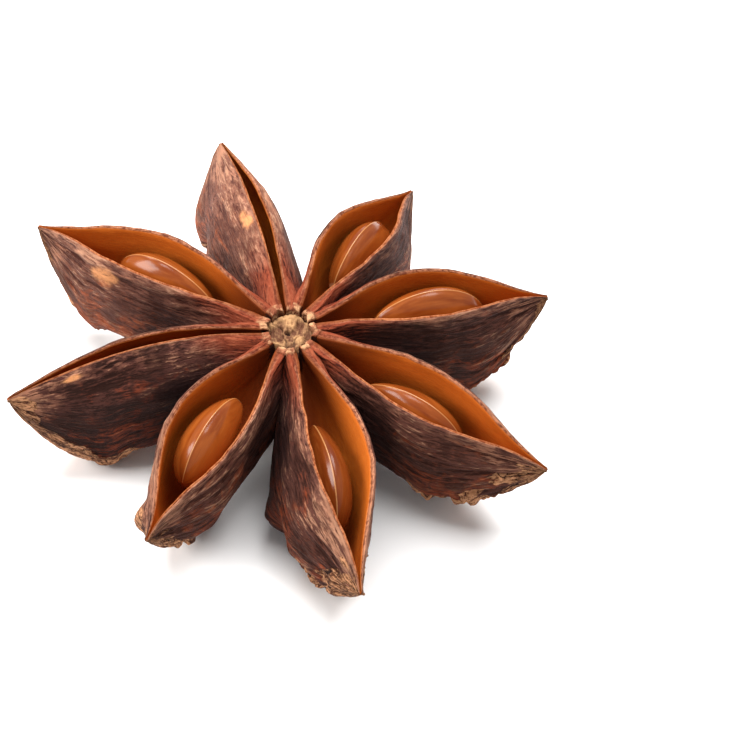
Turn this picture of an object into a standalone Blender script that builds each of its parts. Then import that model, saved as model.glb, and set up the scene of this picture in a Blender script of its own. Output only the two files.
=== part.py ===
"""Star anise: eight boat-shaped pods grown together round a short column, with a seed in each.

Metres, +Z up. The star lies on the keels of its pods. z = 0 is the surface under it, and the origin
is the middle of its outline. Seen from above, azimuth 0 is +X and angles run anticlockwise.
"""

from collections import namedtuple
from math import pi, radians

import bmesh
import bpy
import numpy as np

MM = 0.001

# The star as a whole
COLUMN_X = 0.65 * MM
COLUMN_Y = 0.3 * MM
SEAM_TOP = 9.8 * MM
POD_START = 1.4 * MM
SEAM_FALL_POWER = 1.3

# The lips: their width apart follows a power of a sine, slower towards the column than the beak
LIP_POWER_INNER = 1.25
LIP_POWER_OUTER = 1.6
EDGE_AT_COLUMN = 0.3 * MM
EDGE_AT_BEAK = 0.14 * MM
LIP_CROWN = 0.12 * MM

# The keel: a pod's depth as a share of its greatest, which is at the heel
DEPTH_AT_COLUMN = 0.64
DEPTH_BEFORE_HEEL = 0.93
LEVEL_FROM = 0.45
HEEL_STEP = 0.09
BLUNT_ROUNDING = 0.88
BEAK_DEPTH = 0.35 * MM

# The flanks: how they swell below the lips, and where the pods press on each other near the column
BELLY_POWER = 0.6
BELLY_HIGH = 0.55
BELLY_PER_OPENING = 250.0
SQUEEZE = 0.6 * MM
SQUEEZE_AT_COLUMN = 0.25
SQUEEZE_FULL_AT = 0.08
SQUEEZE_EASES_AT = 0.10
SQUEEZE_GONE_AT = 0.45
FUSED = 0.45 * MM
FUSED_EASES_AT = 0.03
FUSED_GONE_AT = 0.20

# The wall and the hollow that holds the seed
WALL = 0.55 * MM
LIP_WALL = 0.42 * MM
WALL_FULL_BELOW = 2.0 * MM
WALL_MOST_SHARE = 0.9
HOLLOW_DEPTH = 6.6 * MM
HOLLOW_POWER = 0.8
HOLLOW_SQUARENESS = 4
GROOVE_DEPTH = 0.08 * MM
LEAN_FULL_AT = 0.45

# The seed: flattened sideways, with a ridge along its top edge
SEED_HALF_HEIGHT = 2.3 * MM
SEED_RIDGE_POWER = 1.35
SEED_HILUM_TAPER = 0.18

# The column: its top is a sunken disc, its foot is the scar of the stalk
COLUMN_RADIUS = 1.75 * MM
DISC_SUNK = 0.8 * MM
PIT_DEPTH = 0.3 * MM
PIT_FLOOR_RADIUS = 0.5 * MM
PIT_RADIUS = 0.8 * MM
FOOT_HEIGHT = 3.2 * MM
SCAR_HEIGHT = 2.1 * MM
SCAR_STEP = 0.3 * MM
SCAR_RADIUS = 1.0 * MM

# The surface's cutter, larger than the star
CUTTER_SIDE = 60 * MM
CUTTER_HEIGHT = 4 * MM

# How finely each form is divided
STATIONS = 21
STATION_POWER = 1.5
FLANK_POINTS = 7
HOLLOW_POINTS = 5
SEED_SEGMENTS = 18
SEED_RINGS = 13
COLUMN_STEPS = 32
SHARP_FROM = 50
MERGE_WITHIN = 0.01 * MM

# Finishes: linear colour and roughness
HUSK_COLOUR = (0.16, 0.066, 0.04)
HUSK_ROUGHNESS = 0.62
SEED_COLOUR = (0.42, 0.17, 0.055)
SEED_ROUGHNESS = 0.18

Pod = namedtuple(
    "Pod",
    "azimuth reach beak_height half_opening belly arch bend lean heel_at bluntness keel_height "
    "seed_at seed_depth seed_half_length seed_half_thickness",
)

# Azimuth and lean are in degrees, heel_at and seed_at are shares of the pod's length, bluntness is the
# power that closes the keel past the heel, and the rest are millimetres.
# A keel_height below 0 is pressed flat by the surface: those pods carry the star.
PODS = (
    Pod(148.7, 20.5, 8.4, 1.95, 0.85, 1.35, -0.10, 0, 0.75, 1.7, 0.80, 0.45, 2.5, 3.9, 1.55),
    Pod(105.1, 19.9, 7.9, 0.40, 2.05, 1.30, -0.55, 15, 0.75, 2.0, 2.00, 0.48, 3.7, 3.5, 1.20),
    Pod(61.4, 17.2, 7.3, 2.05, 0.85, 1.70, -0.20, 0, 0.65, 1.7, -0.18, 0.50, 2.5, 3.7, 1.50),
    Pod(15.6, 18.0, 7.6, 2.15, 0.80, 1.30, 0.10, 0, 0.65, 1.4, 0.30, 0.50, 2.1, 3.9, 1.55),
    Pod(-31.3, 19.6, 7.5, 2.00, 0.80, 0.90, -0.20, 0, 0.57, 1.5, 0.60, 0.45, 3.2, 3.9, 1.55),
    Pod(-76.6, 20.4, 7.0, 1.85, 1.00, 0.80, 0.90, -18, 0.60, 1.2, -0.18, 0.50, 2.5, 4.0, 1.40),
    Pod(-119.4, 18.2, 7.4, 2.40, 0.60, 1.00, -0.45, -6, 0.62, 1.3, 0.30, 0.48, 2.2, 3.5, 1.62),
    Pod(-167.0, 19.1, 7.6, 0.45, 2.05, 1.60, -0.30, 0, 0.65, 1.5, -0.18, 0.48, 3.7, 3.5, 1.20),
)


def smooth_step(x, start, end):
    """0 before start and 1 after end, with a soft turn at both."""
    t = np.clip((x - start) / (end - start), 0.0, 1.0)
    return t * t * (3 - 2 * t)


def seam_height(pod, s):
    """Height of the seam: it falls from the column to the beak, and arches up on the way."""
    fall = (SEAM_TOP - pod.beak_height * MM) * s**SEAM_FALL_POWER
    return SEAM_TOP - fall + pod.arch * MM * np.sin(pi * s)


def lip_half_width(pod, s):
    """Half the width across the outer edges of the two lips."""
    power = np.where(s < 0.5, LIP_POWER_INNER, LIP_POWER_OUTER)
    edge = EDGE_AT_COLUMN + (EDGE_AT_BEAK - EDGE_AT_COLUMN) * s**3
    return pod.half_opening * MM * np.sin(pi * s) ** power + edge


def belly_width(pod, s):
    """How far each flank swells out beyond its lip."""
    return pod.belly * MM * np.sin(pi * s) ** BELLY_POWER


def fused_lip(s):
    """What the lip gains at the column, where it grows together with its neighbour's."""
    return FUSED * (1 - smooth_step(s, FUSED_EASES_AT, FUSED_GONE_AT))


def squeezed_belly(s):
    """What the flank gains near the column, where the pods press on each other."""
    grows = SQUEEZE_AT_COLUMN + (1 - SQUEEZE_AT_COLUMN) * smooth_step(s, 0, SQUEEZE_FULL_AT)
    return SQUEEZE * grows * (1 - smooth_step(s, SQUEEZE_EASES_AT, SQUEEZE_GONE_AT))


def depth_share(pod, s):
    """Depth as a share of the greatest: it grows to a level keel, steps down to the heel, then closes bluntly."""
    level = DEPTH_BEFORE_HEEL - DEPTH_AT_COLUMN
    keel = DEPTH_AT_COLUMN + level * np.sin(pi / 2 * np.clip(s / LEVEL_FROM, 0, 1))
    heel = (1 - DEPTH_BEFORE_HEEL) * smooth_step(s, pod.heel_at - HEEL_STEP, pod.heel_at)
    past = np.clip((s - pod.heel_at) / (1 - pod.heel_at), 0, 1)
    return (keel + heel) * (1 - past**pod.bluntness) ** BLUNT_ROUNDING


def keel_depth(pod, s):
    """Depth of the keel below the seam, set so that its lowest point is at keel_height."""
    along = np.linspace(0, 0.9, 91)
    room = seam_height(pod, along) - pod.keel_height * MM - BEAK_DEPTH
    greatest = np.min(room / depth_share(pod, along))
    return BEAK_DEPTH + greatest * depth_share(pod, s)


def swollen(pod, v, lip, belly):
    """Half-width at share v of the depth: the lip's, with a belly below it, closed round the keel."""
    power = BELLY_HIGH + BELLY_PER_OPENING * pod.half_opening * MM
    peak = (power / (1 + power)) ** (power / 2) / np.sqrt(1 + power)
    return np.sqrt(np.clip(1 - v * v, 0, 1)) * (lip + belly * v**power / peak)


def outside_half_width(pod, s, v):
    """The outside, which the neighbouring pods fuse with and press on near the column."""
    lip = lip_half_width(pod, s) + fused_lip(s)
    return swollen(pod, v, lip, belly_width(pod, s) + squeezed_belly(s))


def hollow_half_width(pod, s, v, below):
    """The hollow: the pod's own outside, without what its neighbours add, less the wall."""
    own = swollen(pod, v, lip_half_width(pod, s), belly_width(pod, s))
    return own - wall_at(own, below)


def wall_at(half_width, below):
    """Wall thickness: thin at the lip, full a little below, and always less than the half-width it lines."""
    full = LIP_WALL + (WALL - LIP_WALL) * smooth_step(below, 0, WALL_FULL_BELOW)
    return full * (1 - np.exp(-WALL_MOST_SHARE * half_width / full))


def place(pod, s, y, z):
    """A section's points (y sideways, z above the seam) at share s of the pod, as world points."""
    lean = np.tan(radians(pod.lean)) * smooth_step(s, 0, LEAN_FULL_AT)
    side = y - z * lean + pod.bend * MM * np.sin(pi * s)
    height = z + seam_height(pod, s)
    out = POD_START + (pod.reach * MM - POD_START) * s
    turn = radians(pod.azimuth)
    x = COLUMN_X + out * np.cos(turn) - side * np.sin(turn)
    y = COLUMN_Y + out * np.sin(turn) + side * np.cos(turn)
    return np.stack(np.broadcast_arrays(x, y, height), axis=-1)


def pod_rings(pod):
    """One ring of points for each station: down the outside, up to the other lip, then round the hollow."""
    s = 1 - (1 - np.linspace(0, 1, STATIONS)) ** STATION_POWER
    s = s[:, None]
    depth = keel_depth(pod, s)
    v = (1 - np.cos(np.linspace(0, pi, FLANK_POINTS))) / 2
    outer_y = outside_half_width(pod, s, v)
    outer_z = -depth * v

    hollow = GROOVE_DEPTH + HOLLOW_DEPTH * np.sin(pi * s) ** HOLLOW_POWER
    w = np.sin(np.linspace(0, pi / 2, HOLLOW_POINTS))
    inner_z = -hollow * w
    room = hollow_half_width(pod, s, -inner_z / depth, -inner_z)
    inner_y = room * np.sqrt(1 - w**HOLLOW_SQUARENESS)

    crown_y = (outer_y[:, :1] + inner_y[:, :1]) / 2
    crown_z = LIP_CROWN * np.sin(pi * s)
    left = [outer_y, -outer_y[:, -2::-1], -crown_y, -inner_y[:, :-1], inner_y[:, ::-1], crown_y]
    down = [outer_z, outer_z[:, -2::-1], crown_z, inner_z[:, :-1], inner_z[:, ::-1], crown_z]
    return place(pod, s, np.hstack(left), np.hstack(down))


def loft(name, rings, collection):
    """A closed body through rings of equal length, with a flat face at each end."""
    count, size = rings.shape[:2]
    faces = [tuple(range(size)), tuple((count - 1) * size + i for i in range(size))]
    for ring in range(count - 1):
        for i in range(size):
            a = ring * size + i
            b = ring * size + (i + 1) % size
            faces.append((a, b, b + size, a + size))
    mesh = bpy.data.meshes.new(name)
    mesh.from_pydata(rings.reshape(-1, 3).tolist(), [], faces)
    shape = bmesh.new()
    shape.from_mesh(mesh)
    bmesh.ops.recalc_face_normals(shape, faces=shape.faces)
    shape.to_mesh(mesh)
    shape.free()
    made = bpy.data.objects.new(name, mesh)
    collection.objects.link(made)
    return made


def turned_column(name, collection):
    """The column, turned about its own axis: sunken disc and pit on top, stalk scar underneath."""
    top = SEAM_TOP - DISC_SUNK
    profile = [
        (0, top - PIT_DEPTH),
        (PIT_FLOOR_RADIUS, top - PIT_DEPTH / 2),
        (PIT_RADIUS, top),
        (COLUMN_RADIUS, top),
        (COLUMN_RADIUS, FOOT_HEIGHT),
        (SCAR_RADIUS, SCAR_HEIGHT + SCAR_STEP),
        (SCAR_RADIUS, SCAR_HEIGHT),
        (0, SCAR_HEIGHT),
    ]
    mesh = bpy.data.meshes.new(name)
    edges = [(i, i + 1) for i in range(len(profile) - 1)]
    mesh.from_pydata([(r, 0, z) for r, z in profile], edges, [])
    column = bpy.data.objects.new(name, mesh)
    collection.objects.link(column)
    column.location = (COLUMN_X, COLUMN_Y, 0)
    turn = column.modifiers.new("turn", "SCREW")
    turn.steps = COLUMN_STEPS
    turn.render_steps = COLUMN_STEPS
    turn.use_merge_vertices = True
    turn.merge_threshold = MERGE_WITHIN
    turn.use_smooth_shade = True
    return column


def apply_modifiers(made):
    """Keep the shape that an object's modifiers give it, and drop the modifiers."""
    bpy.context.view_layer.update()
    shaped = made.evaluated_get(bpy.context.evaluated_depsgraph_get())
    mesh = bpy.data.meshes.new_from_object(shaped)
    made.modifiers.clear()
    made.data = mesh


def box_below_surface(collection):
    """A cutter that fills the space under z = 0 and gives the lowest keels their flat spots."""
    bpy.ops.mesh.primitive_cube_add(size=1)
    box = bpy.context.object
    box.name = "under_surface"
    box.scale = (CUTTER_SIDE, CUTTER_SIDE, CUTTER_HEIGHT)
    box.location = (0, 0, -CUTTER_HEIGHT / 2)
    for holder in list(box.users_collection):
        holder.objects.unlink(box)
    collection.objects.link(box)
    box.hide_render = True
    box.display_type = "WIRE"
    return box


def seed(name, pod, collection):
    """A seed from a sphere: drawn out along the pod, flattened sideways, ridged on top."""
    shape = bmesh.new()
    bmesh.ops.create_uvsphere(shape, u_segments=SEED_SEGMENTS, v_segments=SEED_RINGS, radius=1)
    ball = np.array([vertex.co for vertex in shape.verts])
    along = ball[:, 2]
    angle = np.arctan2(ball[:, 0], ball[:, 1])
    girth = np.sqrt(np.clip(1 - along**2, 0, 1)) * (1 + SEED_HILUM_TAPER * along)
    across = np.sign(np.cos(angle)) * np.abs(np.cos(angle)) ** SEED_RIDGE_POWER
    y = pod.seed_half_thickness * MM * girth * across
    z = SEED_HALF_HEIGHT * girth * np.sin(angle) - pod.seed_depth * MM
    length = pod.reach * MM - POD_START
    points = place(pod, pod.seed_at + along * pod.seed_half_length * MM / length, y, z)
    for vertex, point in zip(shape.verts, points):
        vertex.co = point
    shape.normal_update()
    bmesh.ops.recalc_face_normals(shape, faces=shape.faces)
    mesh = bpy.data.meshes.new(name)
    shape.to_mesh(mesh)
    shape.free()
    mesh.shade_smooth()
    made = bpy.data.objects.new(name, mesh)
    collection.objects.link(made)
    return made


def material(name, colour, roughness):
    """A plain Principled finish with the part's colour."""
    made = bpy.data.materials.new(name)
    made.use_nodes = True
    shader = made.node_tree.nodes["Principled BSDF"]
    shader.inputs["Base Color"].default_value = (*colour, 1)
    shader.inputs["Roughness"].default_value = roughness
    shader.inputs["Metallic"].default_value = 0
    return made


def new_collection(name):
    """A collection of its own in the scene."""
    made = bpy.data.collections.new(name)
    bpy.context.scene.collection.children.link(made)
    return made


def husk(star, cutters):
    """The husk, one woody piece: eight pods joined to the column and pressed flat where they rest."""
    pods = new_collection("pods")
    for number, pod in enumerate(PODS, start=1):
        loft(f"pod_{number}", pod_rings(pod), pods)
    made = turned_column("husk", star)
    apply_modifiers(made)
    join = made.modifiers.new("join pods", "BOOLEAN")
    join.operation = "UNION"
    join.operand_type = "COLLECTION"
    join.collection = pods
    apply_modifiers(made)
    for pod in list(pods.objects):
        bpy.data.objects.remove(pod)
    bpy.data.collections.remove(pods)
    press = made.modifiers.new("press flat", "BOOLEAN")
    press.operation = "DIFFERENCE"
    press.object = box_below_surface(cutters)
    made.data.shade_smooth()
    made.data.set_sharp_from_angle(angle=radians(SHARP_FROM))
    return made


def main():
    for old in list(bpy.data.objects):
        bpy.data.objects.remove(old)
    star = new_collection("star anise")
    cutters = new_collection("cutters")
    woody = husk(star, cutters)
    woody.data.materials.append(material("husk", HUSK_COLOUR, HUSK_ROUGHNESS))
    for number, pod in enumerate(PODS, start=1):
        made = seed(f"seed_{number}", pod, star)
        made.data.materials.append(material(f"seed_{number}", SEED_COLOUR, SEED_ROUGHNESS))


main()
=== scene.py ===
# %% [markdown]
# # A star anise, dressed for its portrait
# A dried star anise is a ring of boat-shaped woody pods round a short column, each split along its top
# over a glossy seed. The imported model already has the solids: one husk and eight seeds, in metres.
# Here they get their looks: wrinkled rind, torn lips, satin linings and polished seeds.

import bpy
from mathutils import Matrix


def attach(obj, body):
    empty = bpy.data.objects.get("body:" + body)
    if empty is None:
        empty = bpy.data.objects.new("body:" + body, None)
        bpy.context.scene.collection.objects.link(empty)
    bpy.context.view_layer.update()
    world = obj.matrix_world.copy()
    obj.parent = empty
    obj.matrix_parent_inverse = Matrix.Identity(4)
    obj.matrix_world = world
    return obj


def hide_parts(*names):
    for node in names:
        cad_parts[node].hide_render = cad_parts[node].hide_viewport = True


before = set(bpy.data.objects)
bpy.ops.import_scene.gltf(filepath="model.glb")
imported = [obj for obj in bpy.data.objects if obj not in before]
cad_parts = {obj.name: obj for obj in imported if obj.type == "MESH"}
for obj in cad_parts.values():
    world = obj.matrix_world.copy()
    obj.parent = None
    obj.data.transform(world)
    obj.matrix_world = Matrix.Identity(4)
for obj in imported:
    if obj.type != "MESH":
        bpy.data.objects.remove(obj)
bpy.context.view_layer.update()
print("nodes:", sorted(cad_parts))

# %% Tools and units
from collections import namedtuple
from math import cos, pi, radians, sin

import bpy
import numpy as np
from mathutils import Matrix, Vector

MM = 0.001
print("one millimetre is", MM, "of Blender's metres")

# %% [markdown]
# ## The camera
# The star fills most of a square picture that was taken from quite close, looking down at about half a
# right angle. A camera could be aimed with a Track To constraint, but its place follows from three plain
# numbers: the angle, the distance, and how many pixels a millimetre covers at the column's top. A long
# lens at 22 cm keeps the pods' true proportions.

# %% Camera
FRAME_PX = 736
PX_PER_MM = 15.0
LOOK_DOWN = radians(49)
DISTANCE = 0.220
COLUMN_TOP_PX = (290.0, 328.0)
COLUMN_X = 0.65 * MM
COLUMN_Y = 0.3 * MM
SEAM_TOP = 9.8 * MM

forward = Vector((0, cos(LOOK_DOWN), -sin(LOOK_DOWN)))
upward = Vector((0, sin(LOOK_DOWN), cos(LOOK_DOWN)))
rightward = Vector((1, 0, 0))
aside, below = [(px - FRAME_PX / 2) / PX_PER_MM * MM for px in COLUMN_TOP_PX]
aim = Vector((COLUMN_X, COLUMN_Y, SEAM_TOP)) - rightward * aside + upward * below

camera = bpy.data.objects.new("camera", bpy.data.cameras.new("camera"))
bpy.context.scene.collection.objects.link(camera)
turned = Matrix((rightward, upward, -forward)).transposed().to_4x4()
camera.matrix_world = Matrix.Translation(aim - forward * DISTANCE) @ turned
camera.data.sensor_width = 36
camera.data.lens = PX_PER_MM / MM * DISTANCE * camera.data.sensor_width / FRAME_PX
camera.data.clip_start = 0.01
bpy.context.scene.camera = camera
print("lens", round(camera.data.lens, 1), "mm")

# %% [markdown]
# ## Shader maths as plain Python
# Node trees are easier to read as sums. A socket is wrapped in a small class whose operators add Math
# nodes, so that `1 - mask` is a line of Python. Every other kind of node comes from one method.

# %% Sockets and finishes
class Value:
    """A socket of numbers. Each operator adds the Math node of the same meaning."""

    def __init__(self, finish, socket):
        self.finish = finish
        self.socket = socket

    def math(self, operation, *others):
        return self.finish.node("ShaderNodeMath", {"operation": operation}, dict(enumerate(others)))

    def __add__(self, other):
        return self.math("ADD", self, other)

    def __radd__(self, other):
        return self.math("ADD", other, self)

    def __sub__(self, other):
        return self.math("SUBTRACT", self, other)

    def __rsub__(self, other):
        return self.math("SUBTRACT", other, self)

    def __mul__(self, other):
        return self.math("MULTIPLY", self, other)

    def __rmul__(self, other):
        return self.math("MULTIPLY", other, self)

    def between(self, low, high):
        """0 below low and 1 above high, with a soft turn at both."""
        sockets = {"Value": self, "From Min": low, "From Max": high}
        return self.finish.node("ShaderNodeMapRange", {"interpolation_type": "SMOOTHSTEP"}, sockets)


# A Mix node has sockets for every type of value. These are the share's and the two colours', and the
# number of the colour output.
MIX_SHARE, MIX_FIRST, MIX_SECOND, MIX_COLOUR = 0, 6, 7, 2


class Finish:
    """One material: its Principled shader and the nodes that feed it."""

    def __init__(self, name, **constants):
        self.material = bpy.data.materials.new(name)
        self.material.use_nodes = True
        self.tree = self.material.node_tree
        self.shader = self.tree.nodes["Principled BSDF"]
        for socket, value in constants.items():
            self.shader.inputs[socket.replace("_", " ")].default_value = value

    def node(self, kind, settings, sockets, output=0):
        """A node of this kind: its settings first, then its sockets, by name or number."""
        made = self.tree.nodes.new(kind)
        for key, value in settings.items():
            setattr(made, key, value)
        for key, value in sockets.items():
            self.feed(made.inputs[key], value)
        return Value(self, made.outputs[output])

    def feed(self, socket, value):
        """Link a Value to a socket, or set the socket to a number, a colour or a vector."""
        if isinstance(value, Value):
            self.tree.links.new(value.socket, socket)
        elif isinstance(value, tuple) and len(value) == 3 and socket.type == "RGBA":
            socket.default_value = (*value, 1)
        else:
            socket.default_value = value

    def attribute(self, name, output="Fac"):
        return self.node("ShaderNodeAttribute", {"attribute_name": name}, {}, output)

    def noise(self, place, per_unit, detail, roughness, distortion=0.0):
        """Smooth random numbers round one half, with so many lumps per unit of each axis."""
        scaled = self.node("ShaderNodeVectorMath", {"operation": "MULTIPLY"}, {0: place, 1: per_unit})
        sockets = {"Vector": scaled, "Scale": 1.0, "Detail": detail, "Roughness": roughness}
        return self.node("ShaderNodeTexNoise", {}, {**sockets, "Distortion": distortion}, "Fac")

    def mix(self, share, first, second):
        """First where share is 0, second where it is 1."""
        sockets = {MIX_SHARE: share, MIX_FIRST: first, MIX_SECOND: second}
        return self.node("ShaderNodeMix", {"data_type": "RGBA"}, sockets, MIX_COLOUR)

    def bump(self, height, distance, strength):
        """The surface's normal, tilted as if height raised the surface by up to distance in metres."""
        sockets = {"Height": height, "Distance": distance, "Strength": strength}
        return self.node("ShaderNodeBump", {}, sockets, "Normal")


print("shader helpers ready")

# %% [markdown]
# ## The studio
# The star lies on a pale surface under soft light: a bright room all round, one large soft box overhead
# and a little behind, which puts the shadows under the pods, and a weak one at the left. The floor could
# curve up behind as a sweep, but the camera looks down so steeply that a flat sheet fills the picture.

# %% Floor, room and lamps
FLOOR_HALF = 1.2
ROOM_STRENGTH = 0.50
# Name, place and side in metres, power in watts, and colour.
LAMPS = (
    ("overhead", (0.02, 0.13, 0.36), 0.38, 3.9, (1.0, 0.99, 0.975)),
    ("left", (-0.32, -0.02, 0.22), 0.22, 1.6, (1.0, 0.98, 0.95)),
)

floor_mesh = bpy.data.meshes.new("floor")
corners = [(FLOOR_HALF * x, FLOOR_HALF * y, 0) for x, y in ((-1, -1), (1, -1), (1, 1), (-1, 1))]
floor_mesh.from_pydata(corners, [], [(0, 1, 2, 3)])
floor = bpy.data.objects.new("floor", floor_mesh)
bpy.context.scene.collection.objects.link(floor)
paper = Finish("white paper", Base_Color=(0.93, 0.93, 0.935, 1), Roughness=0.7)
floor_mesh.materials.append(paper.material)

world = bpy.data.worlds.new("bright room")
world.use_nodes = True
world.node_tree.nodes["Background"].inputs["Color"].default_value = (1.0, 1.0, 1.0, 1)
world.node_tree.nodes["Background"].inputs["Strength"].default_value = ROOM_STRENGTH
bpy.context.scene.world = world
bpy.context.scene.view_settings.view_transform = "Standard"


def soft_box(name, place, size, power, colour):
    """A square lamp at place, with sides of size, facing the star."""
    lamp = bpy.data.lights.new(name, "AREA")
    lamp.size = size
    lamp.energy = power
    lamp.color = colour
    made = bpy.data.objects.new(name, lamp)
    made.location = place
    made.rotation_euler = (-Vector(place)).to_track_quat("-Z", "Y").to_euler()
    bpy.context.scene.collection.objects.link(made)


for lamp in LAMPS:
    soft_box(*lamp)
print("lights:", [lamp.name for lamp in bpy.data.lights])

# %% [markdown]
# ## Roughness with a plan
# Rind, cork and fibre are rough in their own directions. Blender's Displace modifier knows only one
# texture for all, so the roughness is worked out here: random heights on a lattice, blended smoothly,
# with the lattice stretched along the pod wherever the real wrinkles run that way. A Grain holds how far
# it is stretched, its seed and its octaves. The same heights move the surface and colour it: crests are
# pale, partly their own tan and partly painted highlight, and furrows are darkened with painted shade.

# %% Lattice noise
LATTICE = 4096
ROUGH_SHIFT = 17.3
CREST_SHIFT = 9.1
CREST_SLOPE = 2.4


def lattice_noise(x, y, z, seed):
    """Random values from -1 to 1 on the corners of a unit lattice, blended by 6t^5 - 15t^4 + 10t^3."""
    chance = np.random.default_rng(seed)
    heights = chance.uniform(-1, 1, LATTICE)
    order = chance.permutation(LATTICE)
    places = np.broadcast_arrays(x, y, z)
    cells = [np.floor(place).astype(np.int64) for place in places]
    shares = [place - cell for place, cell in zip(places, cells)]
    blends = [t**3 * (t * (6 * t - 15) + 10) for t in shares]
    total = np.zeros(places[0].shape)
    for corner in range(8):
        steps = (corner & 1, corner >> 1 & 1, corner >> 2)
        index = 0
        weight = 1.0
        for cell, blend, step in zip(cells, blends, steps):
            index = order[(cell + step + index) % LATTICE]
            weight = weight * (blend if step else 1 - blend)
        total += heights[index] * weight
    return total


def rough(x, y, z, seed, octaves):
    """Lattice noise summed over octaves, each twice as fine and half as high."""
    total = 0
    for octave in range(octaves):
        fine = 2**octave
        layer = z * fine + ROUGH_SHIFT * octave
        total = total + lattice_noise(x * fine, y * fine, layer, seed + octave) / fine
    return total


def steady(values):
    """The same values with a mean of 0 and a spread of 1."""
    return (values - values.mean()) / values.std()


def crests(x, y, z, seed, octaves):
    """Sharp crests between round furrows: one minus the size of the noise, from about -1 to 1."""
    total = 0
    for octave in range(octaves):
        fine = 2**octave
        layer = z * fine + CREST_SHIFT * octave
        ridge = 1 - CREST_SLOPE * np.abs(lattice_noise(x * fine, y * fine, layer, seed + octave))
        total = total + ridge / fine
    return total


Grain = namedtuple("Grain", "along up seed octaves layer", defaults=(0.0,))


def read(grain, x, y, layer=0.0, seed=0, kind=rough):
    """Noise of this kind at x and y in mm, divided by the grain's lengths along and up."""
    return kind(x / grain.along, y / grain.up, layer + grain.layer, seed + grain.seed, grain.octaves)


sample = np.linspace(0, 40, 4000)
print("noise spread", lattice_noise(sample, 0.5, 0.5, 1).std().round(3))

# %% [markdown]
# ## The shape of a pod
# A pod is one leaf folded along its keel, with its two edges, the lips, meeting on top until it dries
# and they spring apart. So its section is a deep U, and one section carried along the pod gives the
# whole wall, outside and inside. The solids use the same few rules: how high the seam runs, how wide the
# lips stand, how deep the keel goes and how far the flanks swell. They are repeated here, because the
# fine surface has to fit them.

# %% Values of the solids
POD_START = 1.4 * MM
SEAM_FALL_POWER = 1.3
LIP_POWER_INNER = 1.25
LIP_POWER_OUTER = 1.6
EDGE_AT_COLUMN = 0.3 * MM
EDGE_AT_BEAK = 0.14 * MM
LIP_CROWN = 0.12 * MM
DEPTH_AT_COLUMN = 0.64
DEPTH_BEFORE_HEEL = 0.93
LEVEL_FROM = 0.45
HEEL_STEP = 0.09
BLUNT_ROUNDING = 0.88
BEAK_DEPTH = 0.35 * MM
BELLY_POWER = 0.6
BELLY_HIGH = 0.55
BELLY_PER_OPENING = 250.0
SQUEEZE = 0.6 * MM
SQUEEZE_AT_COLUMN = 0.25
SQUEEZE_FULL_AT = 0.08
SQUEEZE_EASES_AT = 0.10
SQUEEZE_GONE_AT = 0.45
FUSED = 0.45 * MM
FUSED_EASES_AT = 0.03
FUSED_GONE_AT = 0.20
WALL = 0.55 * MM
LIP_WALL = 0.42 * MM
WALL_FULL_BELOW = 2.0 * MM
WALL_MOST_SHARE = 0.9
HOLLOW_DEPTH = 6.6 * MM
HOLLOW_POWER = 0.8
HOLLOW_SQUARENESS = 4
GROOVE_DEPTH = 0.08 * MM
LEAN_FULL_AT = 0.45

Pod = namedtuple(
    "Pod",
    "azimuth reach beak_height half_opening belly arch bend lean heel_at bluntness keel_height "
    "seed_at seed_depth seed_half_length seed_half_thickness",
)
# Azimuth and lean are in degrees, heel_at and seed_at are shares of the length, bluntness is a power,
# and the rest is in mm.
PODS = (
    Pod(148.7, 20.5, 8.4, 1.95, 0.85, 1.35, -0.10, 0, 0.75, 1.7, 0.80, 0.45, 2.5, 3.9, 1.55),
    Pod(105.1, 19.9, 7.9, 0.40, 2.05, 1.30, -0.55, 15, 0.75, 2.0, 2.00, 0.48, 3.7, 3.5, 1.20),
    Pod(61.4, 17.2, 7.3, 2.05, 0.85, 1.70, -0.20, 0, 0.65, 1.7, -0.18, 0.50, 2.5, 3.7, 1.50),
    Pod(15.6, 18.0, 7.6, 2.15, 0.80, 1.30, 0.10, 0, 0.65, 1.4, 0.30, 0.50, 2.1, 3.9, 1.55),
    Pod(-31.3, 19.6, 7.5, 2.00, 0.80, 0.90, -0.20, 0, 0.57, 1.5, 0.60, 0.45, 3.2, 3.9, 1.55),
    Pod(-76.6, 20.4, 7.0, 1.85, 1.00, 0.80, 0.90, -18, 0.60, 1.2, -0.18, 0.50, 2.5, 4.0, 1.40),
    Pod(-119.4, 18.2, 7.4, 2.40, 0.60, 1.00, -0.45, -6, 0.62, 1.3, 0.30, 0.48, 2.2, 3.5, 1.62),
    Pod(-167.0, 19.1, 7.6, 0.45, 2.05, 1.60, -0.30, 0, 0.65, 1.5, -0.18, 0.48, 3.7, 3.5, 1.20),
)
print(len(PODS), "pods, reach", min(p.reach for p in PODS), "to", max(p.reach for p in PODS), "mm")


# %% Rules of the solids
def smooth_step(x, start, end):
    """0 before start and 1 after end, with a soft turn at both."""
    t = np.clip((x - start) / (end - start), 0.0, 1.0)
    return t * t * (3 - 2 * t)


def seam_height(pod, s):
    """The seam falls from the column to the beak by a power of s, and arches up by a sine on the way."""
    fall = (SEAM_TOP - pod.beak_height * MM) * s**SEAM_FALL_POWER
    return SEAM_TOP - fall + pod.arch * MM * np.sin(pi * s)


def lip_half_width(pod, s):
    """Half the width over both lips: a power of a sine, plus the lips' own edge."""
    power = np.where(s < 0.5, LIP_POWER_INNER, LIP_POWER_OUTER)
    edge = EDGE_AT_COLUMN + (EDGE_AT_BEAK - EDGE_AT_COLUMN) * s**3
    return pod.half_opening * MM * np.sin(pi * s) ** power + edge


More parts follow.
